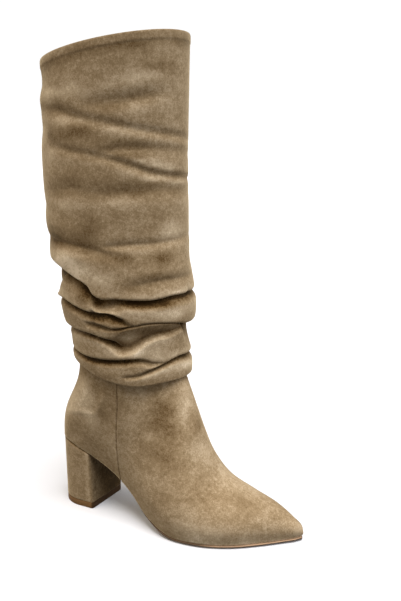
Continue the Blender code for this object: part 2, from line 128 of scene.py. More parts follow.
# Creases round the leg, each a path of points: degrees from the front by way of the outer side,
# height, depth, below (the height of the slope that comes out of the crease), lip (the height of the
# roll's edge above it) and drop (how far that edge hangs over it, a share of the depth). A point that
# gives no below, lip and drop keeps those of the point before it. The last two fields set the painted
# highlight where the slope and the edge face the light, and the painted shade under the edge.
Crease = namedtuple("Crease", "name path light dark", defaults=(1.1, 0.65))
CREASES = [
    Crease("shaft_lip", [
        (2, 221.5, 6.5, 13, 5, 0.55), (12, 221.5, 7), (22, 221.3, 7), (31, 220, 7), (41, 219, 7),
        (56, 219.3, 7), (72, 219.8, 7.5), (81, 219.3, 9, 14, 5, 0.5), (86, 221, 11, 14, 5, 0.45),
        (89, 224, 12, 16, 4, 0.4), (91.5, 229.5, 12, 18, 4, 0.4), (95, 232.5, 12, 20, 4, 0.45),
        (101, 235.5, 11, 22, 4, 0.5), (110, 239.5, 9.5, 25, 5, 0.55), (120, 244, 8.5, 28, 5, 0.55),
        (144, 248, 7.5), (165, 247, 7, 26, 5, 0.55), (180, 246, 6.5, 24, 5, 0.55),
        (210, 240, 6, 20, 5, 0.55), (240, 234, 6, 16, 5, 0.55), (270, 229, 6, 13, 5, 0.55),
        (300, 224, 6, 12, 5, 0.55), (336, 222.5, 6, 13, 5, 0.55),
    ], light=0.8, dark=1.0),
    Crease("outer_roll", [
        (52, 199, 0, 5, 4, 0.4), (63, 201.5, 3, 6, 4, 0.4), (66, 203.5, 5, 8, 4, 0.5),
        (74, 207, 9, 11, 4, 0.5), (85, 207.5, 11, 12, 4, 0.5), (98, 208, 10), (105, 209.5, 8.5),
        (124, 213.5, 7.5, 13, 4, 0.5), (142, 215, 6.5, 12, 4, 0.5), (165, 216, 5.5, 10, 5, 0.5),
        (180, 216, 5, 9, 5, 0.5), (215, 213, 4.6, 8, 5, 0.5), (250, 210, 3.8), (280, 207, 2.4),
        (305, 206, 0),
    ], light=0.2, dark=1.0),
    Crease("pinch_roll", [
        (-110, 200, 0, 8, 5, 0.4), (-90, 199, 2.6, 10, 5, 0.4), (-60, 197, 4.6, 14, 5, 0.4),
        (-30, 194, 6.5, 20, 5, 0.4), (-10, 192.5, 8, 22, 5, 0.3), (0, 193, 7.5, 20, 5, 0.3),
        (7, 195, 5.6, 8, 4, 0.4), (20, 197.5, 4, 3, 3, 0.5), (32, 199, 3.4), (42, 199.5, 3.2),
        (51, 198.5, 3.2), (58, 196.8, 3.4), (64, 195.8, 3.6, 4, 3, 0.5), (73, 195.5, 4),
        (80, 196.5, 4.4, 5, 3, 0.5), (88, 197.5, 4.4), (95, 198.7, 3, 4, 3, 0.4), (101, 199.5, 0),
    ], light=0.0, dark=0.8),
    Crease("swag", [
        (-8, 193, 0, 5, 6, 0), (10, 192.5, 3, 6, 6, 0), (24, 190.5, 5, 7, 9, 0),
        (36, 189.5, 6.2, 7, 10, 0), (46, 186, 7, 7, 13, 0), (56, 180.5, 7.6, 7, 16, 0),
        (64, 178, 8, 6, 16, 0), (71, 178, 8.4, 8, 12, 0.15), (79, 182, 9, 9, 6, 0.35),
        (86, 184.5, 9, 9, 4, 0.45), (94, 186.5, 8.5, 9, 4, 0.5), (105, 187.3, 8),
        (122, 187.3, 8, 9, 5, 0.4), (145, 187, 8, 10, 5, 0.4), (165, 187.5, 6, 10, 6, 0.4),
        (180, 188, 5, 9, 6, 0.4), (215, 187, 4.6), (250, 186, 4.2), (285, 187, 3.2), (315, 188, 0),
    ], light=0.8, dark=0.6),
    Crease("ankle", [
        (22, 165, 0, 6, 5, 0.4), (40, 164.5, 2, 7, 5, 0.4), (53, 165.5, 4, 7, 5, 0.5),
        (60, 165, 5, 8, 5, 0.5), (76, 163.5, 6, 9, 5, 0.5), (88, 163, 6.4), (104, 163, 6, 8, 5, 0.5),
        (121, 164, 5.4, 7, 5, 0.5), (150, 166, 4.6), (180, 168, 3.6), (215, 168.5, 2.8, 8, 5, 0.5),
        (245, 168, 1.6), (270, 168, 0),
    ], light=0.3, dark=1.0),
    Crease("instep", [
        (-125, 157, 0, 6, 5, 0.4), (-100, 158, 1.8), (-60, 161, 3.6, 8, 5, 0.5),
        (-30, 163, 5, 11, 5, 0.5), (-3, 163.5, 5.8), (10, 164, 5.6, 9, 5, 0.5),
        (22, 162, 5.2, 7, 5, 0.5), (32, 158.7, 4.8, 6, 5, 0.5), (44, 155, 4.2),
        (54, 151.7, 3, 5, 5, 0.4), (64, 150, 1.4), (74, 149.5, 0),
    ], light=1.0, dark=0.9),
    Crease("collar_dip", [
        (6, 397, 0, 12, 10, 0.1), (22, 396, 0.8), (36, 394, 2), (52, 391, 2.2), (69, 389, 1.6),
        (92, 387, 0),
    ]),
    Crease("upper_slant", [
        (-30, 357, 0, 8, 7, 0.3), (-4, 361, 1.8), (20, 364, 2), (41, 367, 2), (63, 372, 1.8, 9, 8, 0.3),
        (82, 376, 1.8, 11, 9, 0.2), (94, 379, 2.2, 13, 10, 0.2), (108, 383, 2.4, 14, 11, 0.2),
        (120, 384, 2.2), (150, 385, 0),
    ]),
    Crease("front_pleat", [
        (-38, 345, 0, 15, 7, 0.2), (-15, 348, 0.9), (20, 351, 1.4), (41, 352, 1.8, 12, 7, 0.2),
        (54, 352, 1.7, 10, 8, 0.2), (67, 349.5, 1.1, 9, 8, 0.2), (80, 347, 0),
    ]),
    Crease("middle_slant", [
        (-40, 322, 0, 10, 6, 0.4), (-14, 326, 2), (9, 328, 2.3), (25, 330, 2.3), (34, 332, 2.2),
        (49, 338, 2, 10, 6, 0.3), (68, 344, 1.8, 9, 6, 0.3), (82, 347, 1.4, 9, 7, 0.3),
        (104, 351, 1.2, 10, 8, 0.2), (130, 355, 0),
    ]),
    Crease("side_dip", [
        (-32, 314, 0, 15, 10, 0.1), (-8, 315, 1.2), (10, 316, 1.6), (34, 316, 1.6, 15, 11, 0.1),
        (53, 315, 1.7, 15, 12, 0.1), (72, 314, 1.2), (84, 315, 1), (96, 317, 1.3, 16, 12, 0.1),
        (114, 315, 1.2), (142, 314, 0),
    ]),
    Crease("outer_bulge_dip", [
        (54, 259, 0, 12, 12, 0.2), (66, 261, 1), (79, 264, 2, 14, 14, 0.2), (96, 267, 2.8, 15, 15, 0.2),
        (117, 268.5, 3.4, 16, 16, 0.2), (129, 269.5, 3.4), (150, 271, 2.4), (172, 272, 0),
    ]),
    Crease("front_bulge_dip", [
        (-36, 274, 0, 9, 7, 0.2), (-12, 273, 1), (5, 272, 1.4), (22, 271, 1.5, 8, 7, 0.2),
        (40, 270, 1.7), (53, 269.5, 1.7, 7, 7, 0.2), (65, 268.5, 1.6), (80, 267, 0),
    ]),
    Crease("front_dimple", [
        (-30, 238, 0, 10, 8, 0.2), (-10, 239, 1.4), (8, 238.5, 2), (30, 238, 2.2), (48, 236, 1.6),
        (66, 235, 0),
    ]),
    Crease("inner_slant", [
        (-130, 352, 0, 11, 8, 0.3), (-95, 345, 2.2), (-62, 336, 2.2), (-30, 330, 0),
    ]),
    Crease("back_dip", [
        (130, 300, 0, 13, 12, 0.2), (165, 304, 2), (200, 306, 2.2), (240, 300, 1.6), (268, 296, 0),
    ]),
    Crease("back_slant", [
        (160, 384, 0, 12, 10, 0.3), (190, 378, 1.6), (225, 366, 2), (255, 358, 1.4), (280, 352, 0),
    ]),
]

# Small forms that are not creases: a spot on the leg (degrees, height), its half sizes and how far it
# stands out
Bump = namedtuple("Bump", "name angle height half_angle half_height out")
BUMPS = [
    Bump("roll_corner", 141.0, 219.0, 9.0, 4.5, 2.4),
    Bump("pinch_pit", -3.0, 193.5, 4.0, 2.6, -3.0),
    Bump("lip_pinch", -2.0, 226.0, 3.0, 5.0, -1.6),
    Bump("front_tuck", -37.0, 250.0, 26.0, 13.0, -3.0),
    Bump("pinch_side", -38.0, 181.0, 32.0, 10.0, -5.0),
    Bump("outer_tuck", 143.0, 178.0, 28.0, 15.0, -3.0),
    Bump("shaft_bulge", 118.0, 257.0, 22.0, 9.0, 1.6),
    Bump("upper_hollow", 140.0, 408.0, 18.0, 9.0, -1.6),
    Bump("upper_swell", 142.0, 393.0, 18.0, 8.0, 1.2),
    Bump("middle_hollow", 140.0, 367.0, 20.0, 10.0, -1.6),
    Bump("inner_hollow", 270.0, 300.0, 30.0, 26.0, -2.0),
    Bump("inner_swell", 250.0, 262.0, 28.0, 14.0, 1.4),
]
# The layer behind the outer roll's corner: the roll's edge as (height, degrees), from the corner up to
# the shaft's lip, and the step behind it. Its rim gets a painted highlight and the step painted shade.
LAYER_EDGE = [(216.0, 146.0), (222.0, 139.0), (232.0, 129.0), (242.0, 121.0)]
LAYER_DEPTH = 4.0
LAYER_SOFTNESS = 3.0
LAYER_HEADROOM = 8.0
LAYER_REACH = 40.0
LAYER_FADE = 28.0
LAYER_RIM_AT = -2.0
LAYER_RIM_HIGHLIGHT = 0.4
LAYER_SHADE = 0.9

# Soft patches of painted shade and painted highlight on the shaft: degrees, height, half sizes and tone
SHAFT_PAINTED_PATCHES = [
    (26, 418, 18, 4, -0.5), (36, 410, 20, 4, 0.4), (38, 431, 17, 5, -0.5), (24, 434, 14, 7, 0.6),
    (46, 405, 15, 8, 0.4), (118, 421, 14, 5, -0.6), (104, 398, 24, 5, 0.7), (122, 394, 9, 9, 0.8),
    (63, 384, 13, 4, -0.5), (81, 372, 10, 4, 0.5), (30, 368, 26, 3, 0.5), (117, 362, 8, 9, -0.6),
    (12, 392, 14, 18, 0.5), (44, 385, 14, 5, 0.4), (38, 342, 9, 2.2, 0.7), (27, 338, 9, 2.2, 0.8),
    (47, 345, 13, 3, -0.8), (46, 332, 10, 3, 0.4), (26, 321, 12, 3, -0.5), (15, 335, 8, 2.2, 0.5),
    (30, 326, 12, 2.5, 0.9), (6, 322, 12, 2.5, 0.8), (108, 385, 12, 5, -0.6), (98, 374, 12, 4, 0.8),
    (56, 367, 14, 3, 0.6), (86, 366, 13, 6, -1.1), (104, 362, 10, 5, -0.5), (120, 345, 9, 8, 0.7),
    (54, 355, 16, 4, -0.4), (96, 321, 14, 8, -0.4), (50, 318, 30, 6, -0.3), (98, 303, 16, 6, 0.7),
    (105, 311, 10, 4, -0.6), (74, 308, 10, 4, -0.4), (60, 305, 12, 5, 0.6), (81, 285, 7, 12, -0.6),
    (12, 279, 15, 10, 1.0), (90, 277, 10, 6, -0.5), (124, 273, 17, 9, -1.3), (86, 268, 10, 4, -0.6),
    (113, 255, 12, 6, 1.2), (101, 248, 12, 7, 1.1), (88, 242, 10, 7, 0.8), (77, 238, 10, 7, 0.8),
    (72, 254, 7, 4, -0.5), (38, 256, 9, 5, -0.4), (60, 258, 11, 5, -0.9), (24, 257, 14, 5, -0.7),
    (28, 242, 18, 4, -0.5), (97, 222, 8, 6, -1.5), (76, 217, 9, 4, 1.5), (28, 214, 14, 3, -0.5),
    (9, 227, 11, 4, 0.8), (17, 206, 14, 5, 0.7), (114, 226, 12, 6, -0.5), (136, 239, 10, 8, -0.9),
    (38, 215, 40, 3, -0.7), (80, 204, 15, 3, -0.7), (78, 184, 8, 4, -0.8), (96, 184, 12, 3, -0.9),
    (60, 185, 8, 6, 1.6), (46, 193, 10, 3, -0.6), (124, 205, 12, 5, -0.8), (42, 172, 22, 7, 1.0),
    (77, 159, 17, 3, -0.5), (102, 160, 12, 4, -0.8), (4, 154, 20, 4, 0.7), (210, 340, 26, 18, -0.3),
    (260, 400, 26, 14, 0.3), (300, 300, 24, 12, 0.3), (70, 171, 9, 5, -0.6), (35, 152, 16, 5, 0.5),
    (72, 155, 14, 4, 0.35), (68, 195, 8, 4, -0.6), (110, 231, 6, 4, 0.5), (107, 222, 7, 3, -0.35),
    (25, 206, 9, 4, 0.25), (119, 238, 6, 4, -0.5), (88, 174, 9, 4, 0.3), (70, 405, 60, 20, 0.15),
]

# A seam's groove and the low ridge on either side of it. These and other soft forms and tones are
# bells, given as centre, width and size. A fade is given as its start and length.
Seam = namedtuple("Seam", "groove ridges")
# The side seam of the foot part as (height, distance along the foot)
SEAM_PATH = [
    (30.0, 58.0), (51.0, 58.3), (71.0, 59.6), (95.0, 62.2), (118.0, 65.4), (140.0, 66.7), (165.0, 66.9),
]
# The stiffener's upper edge on the back quarter as (distance along the foot, height)
STIFFENER_PATH = [
    (-24.0, 99.0), (-3.0, 100.4), (12.0, 102.9), (26.0, 104.3), (37.0, 105.5), (44.0, 115.0),
    (49.8, 125.6),
]

# Soft patches of painted shade and painted highlight on the foot: place, radius and tone
FOOT_PAINTED_PATCHES = [
    (104, -24, 122, 12, -0.6), (106, -27, 109, 10, -0.45), (114, -26, 96, 10, -0.45),
    (109, -34, 79, 11, -0.5), (128, -2, 101, 6, -0.4), (45, -40, 114, 9, -0.5),
    (12, -32, 88, 11, -0.45), (35, -32, 73, 10, -0.3), (118, -8, 122, 8, 0.6), (120, -13, 112, 6, 0.5),
    (93, -34, 93, 6, 0.4), (27, -37, 130, 10, 0.6), (33, -36, 98, 9, 0.6), (137, -4, 77, 12, 0.5),
    (150, 11, 55, 14, 0.5), (176, 10, 41, 12, 0.4), (202, 8, 30, 12, 0.1), (138, -44, 16, 16, 0.8),
    (150, -42, 10, 11, 0.5), (166, -36, 12, 13, 0.6), (186, -22, 11, 12, 0.6), (190, -4, 34, 12, 0.2),
    (198, -10, 20, 12, 0.2), (214, 4, 16, 12, 0.3), (224, 12, 11, 8, 0.6), (48, -35, 80, 16, 0.5),
    (72, -36, 76, 14, 0.3), (114, -2, 132, 8, 0.5), (74, -35, 57, 12, 0.3), (0, -30, 108, 17, 0.7),
    (22, -37, 112, 18, 0.55), (84, -36, 134, 12, 0.4), (104, -21, 134, 9, 0.3), (122, -18, 102, 6, 0.4),
    (100, -30, 105, 8, -0.35), (125, -31, 71, 9, -0.25), (78, -38, 102, 11, 0.25),
    (80, -36, 48, 12, 0.25), (99, -41, 45, 12, 0.3), (131, -22, 78, 8, 0.2), (30, -38, 118, 16, 0.35),
]

# Colours from dark to pale, each with its place in the material's ramp. The painted shade and highlights
# of the tone attribute push the nap towards the dark and the pale ends.
SUEDE_COLOURS = [
    (0.00, (0.030, 0.013, 0.002)),
    (0.15, (0.090, 0.048, 0.015)),
    (0.50, (0.240, 0.162, 0.084)),
    (0.82, (0.432, 0.322, 0.198)),
    (1.00, (0.630, 0.497, 0.338)),
]
TAN_COLOURS = [(0.25, (0.085, 0.048, 0.024)), (0.65, (0.42, 0.262, 0.15))]
BROWN_COLOURS = [(0.25, (0.055, 0.026, 0.008)), (0.65, (0.225, 0.116, 0.042))]
LINING_COLOURS = [(0.3, (0.30, 0.21, 0.13)), (0.7, (0.46, 0.35, 0.235))]
FLOOR_COLOURS = [(0.3, (0.66, 0.64, 0.62)), (0.7, (0.68, 0.66, 0.64))]


def smooth_rows(keys, values, at):
    """Cubic Hermite curve through the values at the keys."""
    keys = np.asarray(keys, float)
    values = np.asarray(values, float)
    at = np.asarray(at, float)
    slope = np.gradient(values, keys, axis=0)
    left = np.clip(np.searchsorted(keys, at, side="right") - 1, 0, len(keys) - 2)
    span = keys[left + 1] - keys[left]
    share = (at - keys[left]) / span
    shape = (-1,) + (1,) * (values.ndim - 1)
    share = share.reshape(shape)
    span = span.reshape(shape)
    start = values[left] * (1 + 2 * share) * (1 - share) ** 2
    end = values[left + 1] * share**2 * (3 - 2 * share)
    start_slope = slope[left] * span * share * (1 - share) ** 2
    end_slope = slope[left + 1] * span * share**2 * (share - 1)
    return start + start_slope + end + end_slope


def ease(share):
    """A smooth step from 0 to 1."""
    share = np.clip(share, 0.0, 1.0)
    return share * share * (3 - 2 * share)


def climb(value, start, length):
    """A smooth step that begins at a start and takes a length."""
    return ease((value - start) / length)


def bell(value, centre, width, size=1.0):
    """A smooth bump, as high as its size at its centre."""
    return size * np.exp(-(((value - centre) / width) ** 2))


def arc_lengths(points):
    steps = np.linalg.norm(np.diff(points, axis=0), axis=1)
    return np.concatenate([[0.0], np.cumsum(steps)])


def follow(points, along, at):
    """Points on a line at some of its lengths along."""
    return np.stack([np.interp(at, along, column) for column in points.T], axis=1)


def resample(points, shares):
    along = arc_lengths(points)
    return follow(points, along, shares * along[-1])


def seam_relief(seam, distance):
    """A seam's groove and the low ridges beside it, by the distance from its line."""
    return bell(np.abs(distance), *seam.ridges) + bell(distance, *seam.groove)


# Meshes

WELD_DISTANCE = 0.01


def add_piece(name, vertices, faces, material, smooth_angle=None):
    mesh = bpy.data.meshes.new(name)
    mesh.from_pydata([tuple(point) for point in np.asarray(vertices) * MM], [], faces)
    mesh.validate()
    mesh.shade_smooth()
    if smooth_angle:
        mesh.set_sharp_from_angle(angle=np.radians(smooth_angle))
    piece = bpy.data.objects.new(name, mesh)
    mesh.materials.append(material)
    bpy.context.scene.collection.objects.link(piece)
    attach(piece, BODY)
    return piece


def grid_faces(rows, columns, closed=False, start=0, flip=False):
    """Quads through rows of points, facing along columns x rows unless flipped."""
    faces = []
    for row in range(rows - 1):
        for column in range(columns if closed else columns - 1):
            after = (column + 1) % columns
            near = start + row * columns
            far = near + columns
            face = (near + column, near + after, far + after, far + column)
            faces.append(face[::-1] if flip else face)
    return faces


def add_tone(piece, values):
    """A vertex value that the material reads: below zero for darker, above for paler. It carries painted
    shade and painted highlights, and the dark line along the foot's side seam.
    """
    layer = piece.data.attributes.new("tone", "FLOAT", "POINT")
    layer.data.foreach_set("value", np.asarray(values, np.float32).ravel())


def weld(piece):
    work = bmesh.new()
    work.from_mesh(piece.data)
    bmesh.ops.remove_doubles(work, verts=work.verts, dist=WELD_DISTANCE * MM)
    work.to_mesh(piece.data)
    work.free()


# The shaft

# The form of a crease: powers of its slopes, and shares of the heights and depths in its path
EDGE_SHARE = 0.8
SLOPE_POWER = 1.4
LIP_POWER = 1.3
ROUND_LIP_DROP = 0.4
FALL_RATE = 1.8
FALL_FADE = 2.5

# The painted shade and painted highlights in a crease: full at a depth in mm, and placed by shares of the
# heights
FULL_TONE_DEPTH = 6.0
TONE_POWER = 1.4
SHADE_REACH = 0.6
LIP_SHADE_RATE = 1.6
SLOPE_LIGHT_AT = -0.95
SLOPE_LIGHT_WIDTH = 0.42
RIM_LIGHT_AT = 1.1
RIM_LIGHT_WIDTH = 0.5
RIM_LIGHT_DROP = 0.5
RIM_LIGHT = 0.5
PAINTED_HOLLOW_SHADE = 1.6
TONE_LIMITS = (-1.9, 1.45)


def round_the_leg(stations, values, angles):
    stations = np.asarray(stations, float)
    keys = np.concatenate([stations - 360.0, stations, stations + 360.0])
    return smooth_rows(keys, np.concatenate([values] * 3), angles)


def full_path(points):
    path = []
    for point in points:
        angle, height, depth, *form = point
        path.append((angle, height, depth, *(form or path[-1][3:])))
    return np.array(path, float)


def crease_path(crease, angles):
    """A crease's columns at each angle. An open crease has no depth beyond its ends."""
    path = full_path(crease.path)
    first, last = path[0, 0], path[-1, 0]
    first_depth = path[0, 2]
    if first_depth > 0:
        return round_the_leg(path[:, 0], path[:, 1:], angles).T
    turned = (angles - first) % 360.0 + first
    inside = turned <= last
    columns = smooth_rows(path[:, 0], path[:, 1:], np.where(inside, turned, last)).T
    columns[1] = np.where(inside, np.clip(columns[1], 0.0, None), 0.0)
    return columns


def spot(angles, heights, angle, height, half_angle, half_height):
    """A soft oval spot on the leg, 1 at its middle."""
    away = ((angles - angle + 180.0) % 360.0 - 180.0) / half_angle
    return np.exp(-(away**2) - ((heights - height) / half_height) ** 2)


def back_layer(angles, heights):
    """The step behind the outer roll's corner, the painted highlight on its rim and the painted shade in
    it.
    """
    edge = np.array(LAYER_EDGE)
    past = angles - np.interp(heights, edge[:, 0], edge[:, 1])
    above = climb(heights, edge[0, 0], LAYER_SOFTNESS)
    below = ease((edge[-1, 0] + LAYER_HEADROOM - heights) / LAYER_SOFTNESS)
    step = ease(past / LAYER_SOFTNESS) * ease((LAYER_REACH - past) / LAYER_FADE) * (above * below)
    rim = bell(past, LAYER_RIM_AT, LAYER_SOFTNESS) * (above * below)
    return LAYER_DEPTH * step, LAYER_RIM_HIGHLIGHT * rim - LAYER_SHADE * step


def fold_shape(angles, heights):
    """How far the folds move the leather inward and down, and the painted shade and highlights they put on
    its nap.
    """
    inward = np.zeros_like(heights)
    fall = np.zeros_like(heights)
    lights = np.zeros_like(heights)
    open_sky = np.ones_like(heights)
    for crease in CREASES:
        edge, depth, below, lip, drop = crease_path(crease, angles)
        rise = heights - edge - EDGE_SHARE * drop * depth
        under = ease(1 + rise / below) ** SLOPE_POWER
        into_lip = np.clip(1 - rise / lip, 0.0, 1.0)
        rounded = 1 - np.sqrt(1 - into_lip**2)
        over = rounded + (into_lip**LIP_POWER - rounded) * ease(1 - drop / ROUND_LIP_DROP)
        inward = inward + (depth * np.where(rise < 0, under, over)) ** 3
        fade = ease(1 - (rise - lip) / (FALL_FADE * lip))
        fall = fall + drop * depth * ease(FALL_RATE * rise / lip) * fade
        strength = np.clip(depth / FULL_TONE_DEPTH, 0.0, 1.0) ** TONE_POWER
        # Painted shade in the hollow under the edge, painted highlights on the slope below it and on the
        # edge's rim
        shade = ease(1 + (heights - edge) / (SHADE_REACH * below))
        hollow = np.where(rise < 0, shade, ease(1 - LIP_SHADE_RATE * rise / lip))
        slope = bell(rise, SLOPE_LIGHT_AT * below, SLOPE_LIGHT_WIDTH * below)
        rim = bell(rise, RIM_LIGHT_AT * lip, RIM_LIGHT_WIDTH * lip) * ease(drop / RIM_LIGHT_DROP)
        lights = lights + strength * crease.light * (slope + RIM_LIGHT * rim)
        open_sky = open_sky * (1 - strength * crease.dark * hollow)
    inward = np.cbrt(inward)
    for bump in BUMPS:
        inward = inward - bump.out * spot(angles, heights, *bump[1:5])
    # The creases' painted highlights, with their painted shade in the hollows
    tone = lights * open_sky - PAINTED_HOLLOW_SHADE * (1 - open_sky)
    # Soft patches of painted shade and painted highlight
    for *place, value in SHAFT_PAINTED_PATCHES:
        tone = tone + value * spot(angles, heights, *place)
    behind, layer_shading = back_layer(angles, heights)
    return inward + behind, fall, np.clip(tone + layer_shading, *TONE_LIMITS)


def shaft_points(angles, heights, offsets):
    """Points on the shaft's oval, moved outward by the offsets."""
    table = np.array(SHAFT_OVALS)
    ovals = smooth_rows(table[:, 0], table[:, 1:], heights.ravel()).reshape(*heights.shape, 3)
    x = ovals[..., 0] + (ovals[..., 1] + offsets) * np.cos(np.radians(angles))
    y = -(ovals[..., 2] + offsets) * np.sin(np.radians(angles))
    return np.stack([x, y, heights], axis=-1)


SHAFT_COLUMNS = 300
FOLD_ROWS = 150
LEG_ROWS = 110
# How much of the leg rows' spacing is even, and how much grows with height
EVEN_SPACING = 0.42
GROWING_SPACING = 0.58

# The seam down the back of the leg
BACK = 180.0
BACK_SEAM = Seam(groove=(0.0, 0.7, -0.45), ridges=(1.9, 0.9, 0.16))
BACK_SEAM_STEPS = (0.3, 0.6, 0.95, 1.4, 2.0)
BACK_SEAM_ROOM = 2.3
BACK_SEAM_FADE = (-1.0, 2.0)

# The turned hem at the collar: height and share of its step, and the painted shade under it
HEM_PROFILE = (
    (0.0, 0.0), (0.6, 0.1), (1.2, 0.35), (1.8, 0.65), (2.4, 0.9), (3.0, 1.0),
    (4.0, 1.0), (5.5, 1.0), (7.0, 0.9), (8.0, 0.7), (8.6, 0.3),
)
HEM_GAP = 0.4
HEM_SHADE = (-1.0, 3.0, -0.5)
# The collar's edge turned inward: drop and inset
COLLAR_TURN = ((0.0, 0.0), (0.05, 0.55), (0.3, 0.9), (0.8, 1.1), (4.0, 1.15), (10.0, 1.2), (22.0, 1.2))

# The skirt's edge turned under: rise and inset, then the roll and the lean of its outer side
SKIRT_TURN = ((12.0, 4.0), (6.0, 3.9), (2.2, 3.6), (0.7, 3.1), (0.15, 2.4))
SKIRT_ROLL = 1.3
SKIRT_ROLL_HEIGHT = 1.6
SKIRT_LEAN = 0.5
SKIRT_LEAN_HEIGHT = 8.0

# The folds stand out a little from the leg's oval, fading out above the shaft's lip
FOLD_SWELL = 1.6
SWELL_FADE = (20.0, 40.0)


def skirt_edge(angles):
    return round_the_leg(SKIRT_ANGLES, SKIRT_HEIGHTS, angles)


def collar_edge(angles):
    return COLLAR_HEIGHT + COLLAR_SLOPE * np.cos(np.radians(angles))


def shaft_angles():
    """Even columns round the leg, with closer ones along the back seam."""
    even = np.linspace(0.0, 360.0, SHAFT_COLUMNS, endpoint=False)
    clear = even[np.abs(even - BACK) > BACK_SEAM_ROOM]
    seam = [BACK] + [BACK + sign * step for step in BACK_SEAM_STEPS for sign in (-1, 1)]
    return np.sort(np.concatenate([clear, seam]))


def skirt_inset(rise):
    """How far the skirt's outer side goes inward, by the height above its edge."""
    into_roll = 1 - np.clip(rise / SKIRT_ROLL_HEIGHT, 0, 1)
    roll = SKIRT_ROLL * (1 - np.sqrt(np.clip(1 - into_roll**2, 0, 1)))
    return roll + SKIRT_LEAN * (1 - ease(rise / SKIRT_LEAN_HEIGHT))


def make_shaft(suede):
    angles = shaft_angles()
    edge = skirt_edge(angles)
    collar = collar_edge(angles)
    hem = collar - HEM_HEIGHT
    lip = crease_path(CREASES[0], angles)[0]
    hem_rise, hem_share = np.array(HEM_PROFILE).T[..., None]
    share = np.linspace(0.0, 1.0, LEG_ROWS + 1)[1:, None]
    low = edge + (lip - edge) * np.linspace(0.0, 1.0, FOLD_ROWS)[:, None]
    high = lip + (hem - HEM_GAP - lip) * (EVEN_SPACING * share + GROWING_SPACING * share**2)
    heights = np.vstack([low, high, hem + hem_rise])
    # The folds and their painted shade and highlights; the hem adds painted shade under it
    inward, fall, painted_shading = fold_shape(angles, heights)
    painted_shading = painted_shading + bell(heights - hem, *HEM_SHADE)
    swell = FOLD_SWELL * (1 - climb(heights - lip, *SWELL_FADE))
    offsets = swell - inward - skirt_inset(heights - edge)
    seam_fade = 1 - climb(heights - hem, *BACK_SEAM_FADE)
    offsets = offsets + seam_relief(BACK_SEAM, angles - BACK) * seam_fade
    offsets[-len(HEM_PROFILE):] += HEM_STEP * hem_share
    outer = shaft_points(angles, heights, offsets)
    outer[..., 2] -= fall
    under = [shaft_points(angles, edge + rise, -inset) for rise, inset in SKIRT_TURN]
    inside = [shaft_points(angles, collar - drop, -inset) for drop, inset in COLLAR_TURN]
    grid = np.concatenate([np.array(under), outer, np.array(inside)])
    rows, columns = grid.shape[:2]
    faces = grid_faces(rows, columns, closed=True, flip=True)
    piece = add_piece("shaft_suede", grid.reshape(-1, 3), faces, suede)
    tone = np.zeros((rows, columns))
    tone[len(under):len(under) + len(heights)] = painted_shading
    add_tone(piece, tone)
    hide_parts("shaft")


LINING_COLUMNS = 120
LINING_ROWS = 130
LINING_STARTS = 10.0
LINING_ENDS = 18.0
LINING_INSET = 2.0
# The lining clears the deepest fold within a few rows, and narrows towards the ankle
LINING_REACH = (-2, -1, 0, 1, 2)
LINING_END_ROWS = 3
LINING_NARROWING = 1.6
LINING_NARROWS_OVER = 12.0


def make_shaft_lining(lining):
    angles = np.linspace(0.0, 360.0, LINING_COLUMNS, endpoint=False)
    edge = skirt_edge(angles)
    length = collar_edge(angles) - LINING_ENDS - edge - LINING_STARTS
    heights = (edge + LINING_STARTS) + length * np.linspace(0.0, 1.0, LINING_ROWS)[:, None]
    inward = fold_shape(angles, heights)[0]
    deepest = np.maximum.reduce([np.roll(inward, step, axis=0) for step in LINING_REACH])
    deepest[:LINING_END_ROWS] = inward[:LINING_END_ROWS]
    deepest[-LINING_END_ROWS:] = inward[-LINING_END_ROWS:]
    narrowing = LINING_NARROWING * (1 - climb(heights - edge, LINING_STARTS, LINING_NARROWS_OVER))
    grid = shaft_points(angles, heights, -deepest - LINING_INSET - narrowing)
    faces = grid_faces(*grid.shape[:2], closed=True)
    add_piece("shaft_lining", grid.reshape(-1, 3), faces, lining)


# The foot part

SECTION_STEPS = 60
DENSE_ROWS = 420
SIDE_COLUMNS = 72
VAMP_ROWS = 125
QUARTER_ROWS = 62
# Distances from the side seam of the rows gathered along it
NEAR_SEAM = (0.0, 0.2, 0.42, 0.7, 1.05, 1.5, 2.1, 3.0)
# The signs that turn the normals of the outer and the inner side's grid outward
OUTWARD = (1.0, -1.0)

SIDE_SEAM = Seam(groove=(0.0, 0.5, -0.6), ridges=(1.9, 1.1, 0.22))
SEAM_TONE = (0.0, 0.7, -0.5)

# The stiffener's edge shows as a low ridge that fades out at the seam and at the back, with a painted
# highlight along it
STIFFENER_RIDGE = (0.0, 3.0, 0.6)
STIFFENER_SEAM_FADE = (0.0, 10.0)
STIFFENER_BACK_FADE = (-6.0, 18.0)
STIFFENER_HIGHLIGHT = 0.5

# A painted highlight along the feather, and painted light along the sole under the vamp, where the side
# turns down away from the light
FEATHER_HIGHLIGHT = (0.0, 1.2, 0.6)
SOLE_PAINTED_LIGHT = (0.0, 6.0, 0.5)
SOLE_PAINTED_LIGHT_FADE = (120.0, 40.0)

# The lower edge turns in under the foot, towards a line of points (along, across)
UNDER_LINE = ((-22.0, 0.0), (0.0, 0.0), (200.0, 10.0), (226.0, 16.0))
UNDER_SHARES = (0.2, 0.08)
UNDER_RISE = 0.3


def half_section(width, feather, top, belly, crown):
    """One side of a section as (y, share of the way from the feather to the top)."""
    angle = np.linspace(0.0, np.pi / 2, SECTION_STEPS)
    low_y = feather + (width - feather) * np.sin(angle)
    low_rise = belly * np.sqrt(1 - np.cos(angle))
    power = 2.0 / crown
    high_y = top + (width - top) * np.cos(angle) ** power
    high_rise = belly + (1 - belly) * np.sin(angle) ** power
    low = np.stack([low_y, low_rise], axis=1)
    high = np.stack([high_y, high_rise], axis=1)
    return np.vstack([low, high[1:]])


